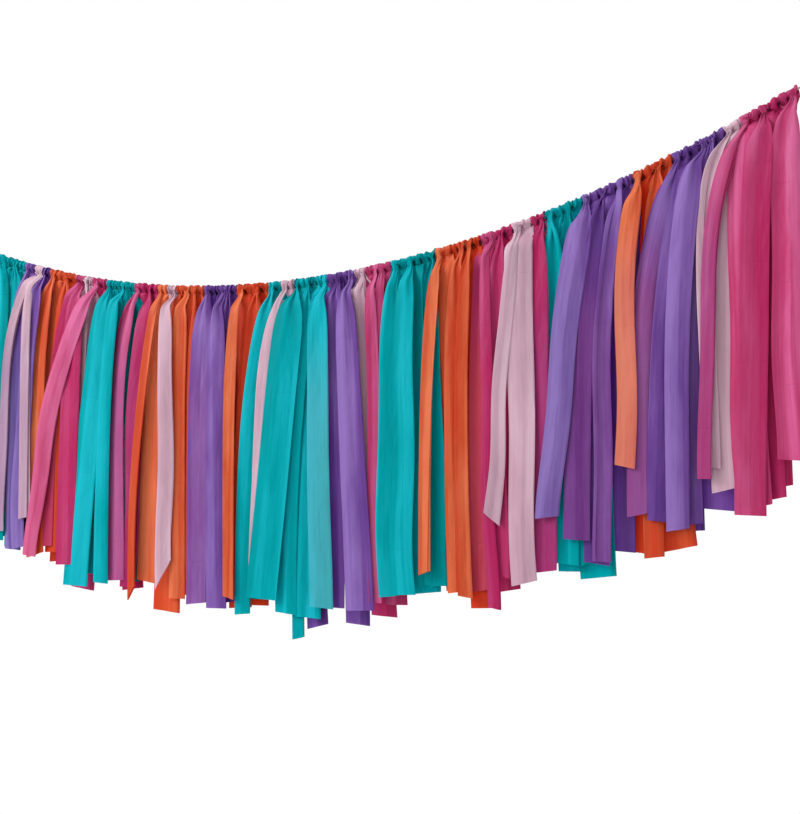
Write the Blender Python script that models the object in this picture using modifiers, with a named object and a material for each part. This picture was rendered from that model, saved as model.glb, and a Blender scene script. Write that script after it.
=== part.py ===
"""Streamer garland: strips of thin plastic film in five colours, each tied over one sagging twine.

Every strip is folded in half and tied with a lark's head: its middle goes over the twine, and a bar of
gathered film across the front holds the two tails together under it. The tails hang straight down and
swing about the stretch of twine that they are tied to. Each end of the twine is turned back into an eye
and wound three times round itself.

The origin is where the left eye bears on its hook. +X runs along the chord to the right eye, -Y faces
the viewer and +Z is up.
"""

import math
import random

import bmesh
import bpy

# The line of the twine
GARLAND_LENGTH = 1.094
BARE_TWINE = 0.050
SPAN = GARLAND_LENGTH + 2 * BARE_TWINE
SAG = 0.129
TWINE_DIAMETER = 0.002
TWINE_RADIUS = TWINE_DIAMETER / 2

# The eye at each end of the twine, and the winding that closes it
EYE_LENGTH = 0.024
EYE_WIDTH = 0.012
EYE_POINTS = 16
WINDING_TURNS = 3
WINDING_GAP = 0.0007
WINDING_RADIUS = TWINE_DIAMETER + WINDING_GAP
WINDING_RISE = TWINE_DIAMETER + WINDING_GAP
TURN_POINTS = 9
FREE_END = 0.005
LEAST_SELF_GAP = 0.0004

# The strips: the film's gathered thickness, and the room that each one leaves its neighbours
FILM = 0.0008
TAIL_LENGTH = 0.390
TAIL_CLEARANCE = 0.0005
KNOT_GAP = 0.0034
KNOT_CLEARANCE = 0.0003
LEVEL_DROP = 0.045
SWING = math.radians(60)
TAIL_SPREAD = 0.0060
SLANT = 0.008

# The folds across a tail: their depth where it opens and at its foot. Drawn tight in the knot, it has none
OPEN_FOLD = 0.0020
FOOT_FOLD = 0.0014
FOLDS = 3
ARCH_STEPS = 3

# The loop of film over the twine and the bar that draws it shut
ARCH_RADIUS = (TWINE_RADIUS + KNOT_CLEARANCE) / math.cos(math.pi / 2 / ARCH_STEPS) + FILM / 2
PINCH_BELOW_ARCH = 0.0030
PINCH_DROP = ARCH_RADIUS + PINCH_BELOW_ARCH
PINCH_SPREAD = 0.0010
BAR_HALF_HEIGHT = 0.0027
BAR_HALF_DEPTH = 0.0024
BAR_FORWARD = 0.0011
BAR_OVERRUN = 0.0003
BAR_SIDES = 6

COLOURS = {
    "teal": (0.000, 0.376, 0.376),
    "purple": (0.156, 0.053, 0.305),
    "orange": (0.680, 0.091, 0.026),
    "pink": (0.578, 0.032, 0.156),
    "blush": (0.638, 0.423, 0.508),
    "twine": (0.650, 0.600, 0.520),
}
FILM_ROUGHNESS = 0.42
TWINE_ROUGHNESS = 0.90

# Each run of one colour: the room of a strip along the garland as a share of the mean, and the lengths
# of every strip's front and back tail as shares of the mean length
RUN_SHARES = (
    ("teal", 1.35, ((1.01, 0.93), (0.97, 1.00))),
    ("purple", 0.95, ((1.00, 0.96),)),
    ("blush", 0.85, ((0.95, 0.88),)),
    ("purple", 0.75, ((0.97, 0.92),)),
    ("orange", 1.25, ((0.98, 0.90), (0.95, 0.98))),
    ("pink", 0.75, ((0.98, 0.93),)),
    ("blush", 0.85, ((0.90, 0.86),)),
    ("pink", 1.30, ((0.97, 1.04),)),
    ("teal", 0.86, ((1.02, 0.98), (1.00, 0.94), (0.96, 0.99))),
    ("pink", 1.03, ((0.98, 1.00), (0.99, 0.94))),
    ("orange", 0.78, ((1.00, 0.96),)),
    ("blush", 0.80, ((0.93, 0.97),)),
    ("orange", 1.22, ((1.00, 1.04), (0.98, 0.95))),
    ("purple", 0.87, ((1.00, 0.97), (1.01, 0.98), (0.99, 0.95))),
    ("orange", 1.28, ((0.97, 1.00), (0.95, 0.99))),
    ("teal", 1.00, ((1.02, 0.97),)),
    ("blush", 0.93, ((0.96, 0.92),)),
    ("teal", 0.84, ((0.97, 1.08), (1.01, 0.98), (0.99, 1.02))),
    ("purple", 0.98, ((0.99, 1.05), (1.00, 1.04))),
    ("blush", 0.80, ((0.93, 0.97),)),
    ("pink", 0.94, ((0.98, 1.02), (0.93, 0.99))),
    ("teal", 1.00, ((0.97, 0.93), (0.97, 0.95), (0.95, 0.97))),
    ("orange", 0.98, ((0.92, 0.97), (0.98, 0.96), (1.00, 1.03))),
    ("pink", 1.05, ((1.04, 0.99), (0.96, 1.00))),
    ("blush", 1.12, ((0.82, 0.99),)),
    ("pink", 0.87, ((0.97, 0.94),)),
    ("teal", 1.12, ((0.96, 0.98), (0.98, 1.01))),
    ("purple", 0.98, ((0.87, 0.97), (0.94, 1.00), (1.01, 0.98))),
    ("orange", 1.15, ((0.78, 1.00), (1.03, 1.01))),
    ("purple", 0.94, ((0.95, 0.98), (0.98, 1.00), (1.00, 0.96))),
    ("blush", 0.84, ((0.88, 0.93),)),
    ("pink", 0.99, ((0.93, 0.99), (0.99, 1.03), (0.98, 0.92))),
)


# When all the strips swing as far as they go, the sag draws their feet together by this share of the room
LONGEST_TAIL = TAIL_LENGTH * max(max(lengths) for _, _, tails in RUN_SHARES for lengths in tails)
CROWDING_SHARE = 8 * SAG / SPAN**2 * LONGEST_TAIL * (1 - math.cos(SWING))


def twine_height(x):
    """Height of the hanging twine at a place along its chord."""
    share = x / SPAN
    return -4 * SAG * share * (1 - share)


def strips():
    """Every strip from left to right: its colour, its room along the chord and its tails' lengths."""
    room = GARLAND_LENGTH / sum(share * len(lengths) for _, share, lengths in RUN_SHARES)
    start = BARE_TWINE
    found = []
    for colour, share, lengths in RUN_SHARES:
        for front, back in lengths:
            found.append((colour, start, start + share * room, front * TAIL_LENGTH, back * TAIL_LENGTH))
            start += share * room
    return found


def knot_place(start, stop):
    """Middle, slope angle and length of the straight stretch of twine between two places on the chord."""
    rise = twine_height(stop) - twine_height(start)
    middle = ((start + stop) / 2, 0.0, (twine_height(start) + twine_height(stop)) / 2)
    return middle, math.atan2(rise, stop - start), math.hypot(stop - start, rise)


def film_material(name):
    """A material in one of the garland's colours."""
    material = bpy.data.materials.new(name if name == "twine" else name + "_film")
    material.use_nodes = True
    shader = material.node_tree.nodes["Principled BSDF"]
    shader.inputs["Base Color"].default_value = (*COLOURS[name], 1.0)
    shader.inputs["Roughness"].default_value = TWINE_ROUGHNESS if name == "twine" else FILM_ROUGHNESS
    shader.inputs["Metallic"].default_value = 0.0
    material.diffuse_color = (*COLOURS[name], 1.0)
    return material


def eye_route():
    """Points of the left eye from its free end to its throat, on the twine's own line there.

    Each point is how far it lies along the line, above it and behind it. The free end runs back along
    the winding, the winding goes round the standing part, and the eye closes on that part.
    """
    winding_length = WINDING_TURNS * WINDING_RISE
    last = WINDING_TURNS * TURN_POINTS
    route = [(EYE_LENGTH + winding_length + FREE_END, 0.0, WINDING_RADIUS)]
    for step in range(last + 1):
        turn = 2 * math.pi * step / TURN_POINTS
        along = EYE_LENGTH + winding_length * (1 - step / last)
        route.append((along, WINDING_RADIUS * math.sin(turn), WINDING_RADIUS * math.cos(turn)))
    for step in range(1, EYE_POINTS):
        angle = 2 * math.pi * (1 - step / EYE_POINTS)
        along = (EYE_LENGTH + TWINE_RADIUS) * (1 + math.cos(angle)) / 2 - TWINE_RADIUS
        above = EYE_WIDTH / 2 * math.sin(angle) * math.sin(angle / 2) ** 2
        behind = WINDING_RADIUS * (1 + math.cos(angle)) / 2 if angle > math.pi else 0.0
        route.append((along, above, behind))
    return route


def twine_route():
    """The whole twine: left eye, the straight stretches between the strips' edges, right eye."""
    slope = math.atan2(-4 * SAG, SPAN)
    left = []
    for along, above, behind in eye_route():
        x = along * math.cos(slope)
        left.append((x - above * math.sin(slope), behind, twine_height(x) + above * math.cos(slope)))
    edges = [BARE_TWINE] + [stop for _, _, stop, _, _ in strips()]
    throat = EYE_LENGTH * math.cos(slope)
    standing = [(x, 0.0, twine_height(x)) for x in (throat, *edges, SPAN - throat)]
    right = [(SPAN - x, y, z) for x, y, z in reversed(left)]
    return left + standing + right


def least_self_gap(route):
    """Least gap between two stretches of the twine that don't follow each other."""
    reach = 2 * math.pi * WINDING_RADIUS / 2
    count = 4
    points, lengths, total = [], [], 0.0
    for first, second in zip(route[:-1], route[1:]):
        for step in range(count):
            share = step / count
            points.append([a + (b - a) * share for a, b in zip(first, second)])
            lengths.append(total + math.dist(first, second) * share)
        total += math.dist(first, second)
    least = math.inf
    for i, point in enumerate(points):
        for j in range(i + 1, len(points)):
            if lengths[j] - lengths[i] > reach:
                least = min(least, math.dist(point, points[j]))
    return least - TWINE_DIAMETER


def make_twine(material, collection):
    """One unbroken tube from free end to free end."""
    route = twine_route()
    eye = route[: len(eye_route()) + 3]
    gap = least_self_gap(eye)
    print(f"least gap of the twine to itself: {gap * 1000:.2f} mm")
    assert gap > LEAST_SELF_GAP
    curve = bpy.data.curves.new("twine", "CURVE")
    curve.dimensions = "3D"
    curve.bevel_depth = TWINE_RADIUS
    curve.bevel_resolution = 1
    curve.use_fill_caps = True
    spline = curve.splines.new("POLY")
    spline.points.add(len(route) - 1)
    for point, place in zip(spline.points, route):
        point.co = (*place, 1.0)
    curve.materials.append(material)
    twine = bpy.data.objects.new("twine", curve)
    collection.objects.link(twine)
    return twine


def strip_rows(front, back):
    """Stations of a strip from its front foot over the twine to its back foot.

    Each is how far it lies behind the twine, above it, below it, and the depth of its folds.
    """
    tail = ((TAIL_SPREAD, 0.0, LEVEL_DROP, OPEN_FOLD), (PINCH_SPREAD, 0.0, PINCH_DROP, 0.0))
    rows = [(-TAIL_SPREAD, 0.0, front, FOOT_FOLD)]
    rows += [(-behind, above, below, fold) for behind, above, below, fold in tail]
    for step in range(ARCH_STEPS + 1):
        angle = math.pi * (1 - step / ARCH_STEPS)
        rows.append((ARCH_RADIUS * math.cos(angle), ARCH_RADIUS * math.sin(angle), 0.0, 0.0))
    rows += list(reversed(tail))
    rows.append((TAIL_SPREAD, 0.0, back, FOOT_FOLD))
    return rows


def strip_mesh(name, slope, length, room, front, back, chance):
    """The folded film as an open sheet round the knot's middle, for a Solidify to thicken."""
    rows = strip_rows(front, back)
    knot_length = length - KNOT_GAP
    width = room * (1 - CROWDING_SHARE) - TAIL_CLEARANCE
    side = chance.choice((-1, 1))
    cuts = {0: chance.uniform(-SLANT, SLANT), len(rows) - 1: chance.uniform(-SLANT, SLANT)}
    sheet = bmesh.new()
    bmesh.ops.create_grid(sheet, x_segments=FOLDS, y_segments=len(rows) - 1, size=1.0)
    for vertex in sheet.verts:
        fold = round((vertex.co.x + 1) / 2 * FOLDS)
        number = round((vertex.co.y + 1) / 2 * (len(rows) - 1))
        behind, above, below, depth = rows[number]
        opened = min(below / LEVEL_DROP, 1.0)
        half = (knot_length + (width - knot_length) * opened) / 2
        across = half * vertex.co.x
        tilt = slope * (1 - opened)
        vertex.co.x = across * math.cos(tilt) - above * math.sin(tilt)
        vertex.co.y = behind + side * depth * (-1) ** fold
        vertex.co.z = across * math.sin(tilt) + above * math.cos(tilt) - below
        vertex.co.z += cuts.get(number, 0.0) * across / half
    # Both sides of the wall then fold along the same diagonals, and never cross
    bmesh.ops.triangulate(sheet, faces=sheet.faces)
    mesh = bpy.data.meshes.new(name)
    bmesh.ops.recalc_face_normals(sheet, faces=sheet.faces)
    sheet.to_mesh(mesh)
    sheet.free()
    return mesh


def make_bar(name, slope, length, place, helpers):
    """The bar of gathered film under the twine, which passes through both tails."""
    bar = bmesh.new()
    bar_length = length - KNOT_GAP + 2 * BAR_OVERRUN
    bmesh.ops.create_cone(
        bar, cap_ends=True, segments=BAR_SIDES, radius1=1.0, radius2=1.0, depth=bar_length
    )
    for vertex in bar.verts:
        across, behind, above = vertex.co.z, BAR_HALF_DEPTH * vertex.co.x, BAR_HALF_HEIGHT * vertex.co.y
        vertex.co.x = across * math.cos(slope) - above * math.sin(slope)
        vertex.co.y = behind - BAR_FORWARD
        vertex.co.z = across * math.sin(slope) + above * math.cos(slope) - PINCH_DROP
    bmesh.ops.recalc_face_normals(bar, faces=bar.faces)
    mesh = bpy.data.meshes.new(name)
    bar.to_mesh(mesh)
    bar.free()
    helper = bpy.data.objects.new(name, mesh)
    helper.location = place
    helper.hide_render = True
    helper.display_type = "WIRE"
    helpers.objects.link(helper)
    return helper


def make_streamer(number, strip, materials, collection, helpers, chance):
    """One strip, tied: its object's origin is the middle of its knot, on the axis that it swings about."""
    colour, start, stop, front, back = strip
    place, slope, length = knot_place(start, stop)
    name = f"streamer_{number:02d}_{colour}"
    mesh = strip_mesh(name, slope, length, stop - start, front, back, chance)
    mesh.materials.append(materials[colour])
    streamer = bpy.data.objects.new(name, mesh)
    streamer.location = place
    collection.objects.link(streamer)
    wall = streamer.modifiers.new("film", "SOLIDIFY")
    wall.thickness = FILM
    wall.offset = 0.0
    join = streamer.modifiers.new("bar", "BOOLEAN")
    join.operation = "UNION"
    join.solver = "EXACT"
    join.object = make_bar(f"bar_{number:02d}", slope, length, place, helpers)
    return streamer


def new_collection(name):
    """A collection in the scene."""
    collection = bpy.data.collections.new(name)
    bpy.context.scene.collection.children.link(collection)
    return collection


def main():
    for old in list(bpy.data.objects):
        bpy.data.objects.remove(old)
    garland = new_collection("streamer_garland")
    helpers = new_collection("helpers")
    helpers.hide_render = True
    materials = {name: film_material(name) for name in COLOURS}
    hook = bpy.data.objects.new("hang_point", None)
    garland.objects.link(hook)
    chance = random.Random(4)
    pieces = [make_twine(materials["twine"], garland)]
    for number, strip in enumerate(strips(), start=1):
        pieces.append(make_streamer(number, strip, materials, garland, helpers, chance))
    for piece in pieces:
        piece.parent = hook
    print(f"{len(pieces) - 1} strips and one twine")


main()
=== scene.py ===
# %% [markdown]
# # Streamer garland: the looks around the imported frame
# The frame gives the solids of every tied strip and of the twine, all in metres, with +Z up and -Y towards
# the viewer. This lesson dresses them: a laid twine, strips of thin film with pleats and folds, five
# film finishes, and plain studio light.

# %% Load the frame
import math
import random

import bpy
import numpy as np
from mathutils import Matrix, Vector


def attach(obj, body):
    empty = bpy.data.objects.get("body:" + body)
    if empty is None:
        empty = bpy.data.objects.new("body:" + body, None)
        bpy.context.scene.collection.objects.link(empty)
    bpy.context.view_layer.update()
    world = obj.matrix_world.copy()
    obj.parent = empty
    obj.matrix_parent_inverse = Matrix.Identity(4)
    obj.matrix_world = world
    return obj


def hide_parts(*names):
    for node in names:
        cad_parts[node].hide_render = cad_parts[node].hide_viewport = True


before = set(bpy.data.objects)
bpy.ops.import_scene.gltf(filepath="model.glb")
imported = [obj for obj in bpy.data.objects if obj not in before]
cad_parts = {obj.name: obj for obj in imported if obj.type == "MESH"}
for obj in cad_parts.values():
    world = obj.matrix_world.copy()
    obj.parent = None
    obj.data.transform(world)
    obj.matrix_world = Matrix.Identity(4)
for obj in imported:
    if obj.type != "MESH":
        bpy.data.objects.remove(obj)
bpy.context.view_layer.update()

# %% [markdown]
# ## The camera
# The photograph looks up a little, along the garland from its right end, so the strips shrink to the left.
# The camera's place was found by fitting the line of the knots and the feet. It leans by about one degree,
# and a small shift lifts the picture, as when only the upper part of a taller picture is kept.

# %% Camera
PICTURE_HEIGHT = 814
FOCAL_PIXELS = 1250
CENTRE_ROW = 465.9
CAMERA_PLACE = (1.389, -1.210, -0.492)
CAMERA_AZIMUTH = math.radians(30.0)
CAMERA_PITCH = math.radians(5.5)
CAMERA_ROLL = math.radians(-1.2)
SENSOR = 36.0


def make_camera():
    """The camera at the photograph's place, angle and lens."""
    forward = Vector(
        (
            -math.sin(CAMERA_AZIMUTH) * math.cos(CAMERA_PITCH),
            math.cos(CAMERA_AZIMUTH) * math.cos(CAMERA_PITCH),
            math.sin(CAMERA_PITCH),
        )
    )
    level = Vector((math.cos(CAMERA_AZIMUTH), math.sin(CAMERA_AZIMUTH), 0.0))
    upright = level.cross(forward)
    right = level * math.cos(CAMERA_ROLL) + upright * math.sin(CAMERA_ROLL)
    up = upright * math.cos(CAMERA_ROLL) - level * math.sin(CAMERA_ROLL)
    data = bpy.data.cameras.new("camera")
    data.sensor_width = SENSOR
    data.lens = SENSOR * FOCAL_PIXELS / PICTURE_HEIGHT
    data.shift_y = (CENTRE_ROW - PICTURE_HEIGHT / 2) / PICTURE_HEIGHT
    camera = bpy.data.objects.new("camera", data)
    turn = Matrix((right, up, -forward)).transposed().to_4x4()
    camera.matrix_world = Matrix.Translation(CAMERA_PLACE) @ turn
    bpy.context.scene.collection.objects.link(camera)
    bpy.context.scene.camera = camera
    return camera


CAMERA = make_camera()
print(f"camera lens {CAMERA.data.lens:.1f} mm, shift {CAMERA.data.shift_y:.4f}")

# %% [markdown]
# ## The line of the twine
# Everything hangs from one parabola, so the sizes that the frame was made with are repeated here: the
# span between the hooks, the sag, and the room that each strip has along the line.

# %% Sizes of the line
GARLAND_LENGTH = 1.094
BARE_TWINE = 0.050
SPAN = GARLAND_LENGTH + 2 * BARE_TWINE
SAG = 0.129
TAIL_LENGTH = 0.390
FILM_WIDTH = 0.045


def twine_height(x):
    """Height of the twine at a place along its chord."""
    share = x / SPAN
    return -4 * SAG * share * (1 - share)


# %% [markdown]
# ## The twine
# A real garland is tied on jute or cotton twine. Its ends are turned back into eyes and wound round
# themselves. A curve with a three-lobed profile, twisted as it goes, gives the three strands of the lay.
# The route's points are those of the frame's solid: free end, winding, eye, then the standing line.

# %% Route of the twine
TWINE_DIAMETER = 0.002
TWINE_RADIUS = TWINE_DIAMETER / 2
EYE_LENGTH = 0.024
EYE_WIDTH = 0.012
EYE_POINTS = 16
WINDING_TURNS = 3
WINDING_GAP = 0.0007
WINDING_RADIUS = TWINE_DIAMETER + WINDING_GAP
TURN_POINTS = 9
FREE_END = 0.005


def eye_route():
    """Points of the left eye: how far each lies along the line, above it and behind it."""
    winding_length = WINDING_TURNS * WINDING_RADIUS
    last = WINDING_TURNS * TURN_POINTS
    route = [(EYE_LENGTH + winding_length + FREE_END, 0.0, WINDING_RADIUS)]
    for step in range(last + 1):
        turn = 2 * math.pi * step / TURN_POINTS
        along = EYE_LENGTH + winding_length * (1 - step / last)
        route.append((along, WINDING_RADIUS * math.sin(turn), WINDING_RADIUS * math.cos(turn)))
    for step in range(1, EYE_POINTS):
        angle = 2 * math.pi * (1 - step / EYE_POINTS)
        along = (EYE_LENGTH + TWINE_RADIUS) * (1 + math.cos(angle)) / 2 - TWINE_RADIUS
        above = EYE_WIDTH / 2 * math.sin(angle) * math.sin(angle / 2) ** 2
        behind = WINDING_RADIUS * (1 + math.cos(angle)) / 2 if angle > math.pi else 0.0
        route.append((along, above, behind))
    return route


# %% [markdown]
# ## The strips, run by run
# The colours come in runs. Each run has the room of one of its strips as a share of the mean, and for
# every strip the lengths of its front and back tail as shares of the mean length. These are the shares
# that the frame was made with.

# %% Runs of colour
RUN_SHARES = (
    ("teal", 1.35, ((1.01, 0.93), (0.97, 1.00))),
    ("purple", 0.95, ((1.00, 0.96),)),
    ("blush", 0.85, ((0.95, 0.88),)),
    ("purple", 0.75, ((0.97, 0.92),)),
    ("orange", 1.25, ((0.98, 0.90), (0.95, 0.98))),
    ("pink", 0.75, ((0.98, 0.93),)),
    ("blush", 0.85, ((0.90, 0.86),)),
    ("pink", 1.30, ((0.97, 1.04),)),
    ("teal", 0.86, ((1.02, 0.98), (1.00, 0.94), (0.96, 0.99))),
    ("pink", 1.03, ((0.98, 1.00), (0.99, 0.94))),
    ("orange", 0.78, ((1.00, 0.96),)),
    ("blush", 0.80, ((0.93, 0.97),)),
    ("orange", 1.22, ((1.00, 1.04), (0.98, 0.95))),
    ("purple", 0.87, ((1.00, 0.97), (1.01, 0.98), (0.99, 0.95))),
    ("orange", 1.28, ((0.97, 1.00), (0.95, 0.99))),
    ("teal", 1.00, ((1.02, 0.97),)),
    ("blush", 0.93, ((0.96, 0.92),)),
    ("teal", 0.84, ((0.97, 1.08), (1.01, 0.98), (0.99, 1.02))),
    ("purple", 0.98, ((0.99, 1.05), (1.00, 1.04))),
    ("blush", 0.80, ((0.93, 0.97),)),
    ("pink", 0.94, ((0.98, 1.02), (0.93, 0.99))),
    ("teal", 1.00, ((0.97, 0.93), (0.97, 0.95), (0.95, 0.97))),
    ("orange", 0.98, ((0.92, 0.97), (0.98, 0.96), (1.00, 1.03))),
    ("pink", 1.05, ((1.04, 0.99), (0.96, 1.00))),
    ("blush", 1.12, ((0.82, 0.99),)),
    ("pink", 0.87, ((0.97, 0.94),)),
    ("teal", 1.12, ((0.96, 0.98), (0.98, 1.01))),
    ("purple", 0.98, ((0.87, 0.97), (0.94, 1.00), (1.01, 0.98))),
    ("orange", 1.15, ((0.78, 1.00), (1.03, 1.01))),
    ("purple", 0.94, ((0.95, 0.98), (0.98, 1.00), (1.00, 0.96))),
    ("blush", 0.84, ((0.88, 0.93),)),
    ("pink", 0.99, ((0.93, 0.99), (0.99, 1.03), (0.98, 0.92))),
)


def strips():
    """Every strip from left to right: its colour, the two ends of its room, and its tails' lengths."""
    room = GARLAND_LENGTH / sum(share * len(lengths) for _, share, lengths in RUN_SHARES)
    start = BARE_TWINE
    found = []
    for colour, share, lengths in RUN_SHARES:
        for front, back in lengths:
            found.append((colour, start, start + share * room, front * TAIL_LENGTH, back * TAIL_LENGTH))
            start += share * room
    return found


STRIPS = strips()
print(f"{len(STRIPS)} strips in {len(RUN_SHARES)} runs of colour")


# %% Smooth line through points
def smooth_line(points, step):
    """Places about a step apart on a smooth curve that passes through the points."""
    points = [Vector(point) for point in points]
    ends = [2 * points[0] - points[1], *points, 2 * points[-1] - points[-2]]
    places = []
    for before, first, second, after in zip(ends, ends[1:], ends[2:], ends[3:]):
        count = max(1, round((second - first).length / step))
        for number in range(count):
            t = number / count
            place = 2 * first + (second - before) * t
            place += (2 * before - 5 * first + 4 * second - after) * t**2
            place += (3 * first - before - 3 * second + after) * t**3
            places.append(place / 2)
    return [*places, points[-1]]


def twine_route():
    """The whole twine: left eye, the standing line from knot to knot, right eye."""
    slope = math.atan2(-4 * SAG, SPAN)
    left = []
    for along, above, behind in eye_route():
        x = along * math.cos(slope)
        left.append((x - above * math.sin(slope), behind, twine_height(x) + above * math.cos(slope)))
    edges = [BARE_TWINE] + [stop for _, _, stop, _, _ in STRIPS]
    throat = EYE_LENGTH * math.cos(slope)
    standing = [(x, 0.0, twine_height(x)) for x in (throat, *edges, SPAN - throat)]
    right = [(SPAN - x, y, z) for x, y, z in reversed(left)]
    return left + standing + right


# %% Twine of three strands
TWINE_STEP = 0.0008
LAY_PITCH = 0.0065
STRANDS = 3
PROFILE_POINTS = 18
LOBE_SHARE = 0.16


def make_twine():
    """The laid twine as one mesh tube along its route."""
    line = smooth_line(twine_route(), TWINE_STEP)
    profile = bpy.data.curves.new("lay_profile", "CURVE")
    outline = profile.splines.new("POLY")
    outline.points.add(PROFILE_POINTS - 1)
    outline.use_cyclic_u = True
    for number, point in enumerate(outline.points):
        angle = 2 * math.pi * number / PROFILE_POINTS
        radius = TWINE_RADIUS * (1 - LOBE_SHARE * (1 - abs(math.cos(STRANDS * angle / 2))))
        point.co = (radius * math.cos(angle), radius * math.sin(angle), 0.0, 1.0)
    guide = bpy.data.objects.new("lay_profile", profile)
    bpy.context.scene.collection.objects.link(guide)
    data = bpy.data.curves.new("laid_twine", "CURVE")
    data.dimensions = "3D"
    data.bevel_mode = "OBJECT"
    data.bevel_object = guide
    data.use_fill_caps = True
    spline = data.splines.new("POLY")
    spline.points.add(len(line) - 1)
    gone = 0.0
    for number, (point, place) in enumerate(zip(spline.points, line)):
        gone += (place - line[max(0, number - 1)]).length
        point.co = (*place, 1.0)
        point.tilt = 2 * math.pi * gone / LAY_PITCH
    twine = bpy.data.objects.new("laid_twine", data)
    bpy.context.scene.collection.objects.link(twine)
    bpy.ops.object.select_all(action="DESELECT")
    twine.select_set(True)
    bpy.context.view_layer.objects.active = twine
    bpy.ops.object.convert(target="MESH")
    bpy.data.objects.remove(guide)
    bpy.ops.object.mode_set(mode="EDIT")
    bpy.ops.mesh.select_all(action="SELECT")
    bpy.ops.mesh.remove_doubles(threshold=0.00001)
    bpy.ops.mesh.normals_make_consistent(inside=False)
    bpy.ops.object.mode_set(mode="OBJECT")
    twine.data.shade_smooth()
    return twine, line, gone


TWINE, TWINE_LINE, TWINE_LENGTH = make_twine()
print(f"twine {TWINE_LENGTH:.3f} m long, {len(TWINE.data.polygons)} faces")

# %% [markdown]
# ## The five films
# Each film has four colours: where it lies double or is bunched, where it lies plain, where one layer hangs
# free, and the light that comes through it.

# %% Colours
COLOURS = {
    # doubled film, plain film, thin film, and light that comes through one layer
    "teal": ((0.000, 0.380, 0.400), (0.000, 0.480, 0.530), (0.015, 0.630, 0.740), (0.00, 0.69, 0.75)),
    "purple": ((0.145, 0.048, 0.305), (0.225, 0.090, 0.410), (0.390, 0.225, 0.640), (0.42, 0.19, 0.66)),
    "orange": ((0.700, 0.062, 0.020), (0.710, 0.110, 0.038), (0.920, 0.270, 0.115), (0.95, 0.26, 0.10)),
    "pink": ((0.570, 0.024, 0.155), (0.610, 0.070, 0.225), (0.800, 0.190, 0.435), (0.88, 0.17, 0.45)),
    "blush": ((0.580, 0.380, 0.475), (0.740, 0.505, 0.610), (0.880, 0.680, 0.765), (0.90, 0.71, 0.80)),
}
# share of the doubled colour that the finish uses as painted shade in the gaps beside the necks
PAINTED_SHADE_SHARE = 0.25
print(", ".join(COLOURS))

# %% [markdown]
# ## How every tail hangs
# Tied film doesn't hang like a ruler. Neighbours push each tail aside and over or under the next one, and
# some strips stay folded lengthwise, once or twice, as they left the packet. The table says this for both
# tails of every strip: how far aside the foot hangs, how wide the tail looks, and its layer, where 1 to 5
# come forward and -1 and -2 go back. A broad tail has soft folds, and a narrow one has creases.

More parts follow.
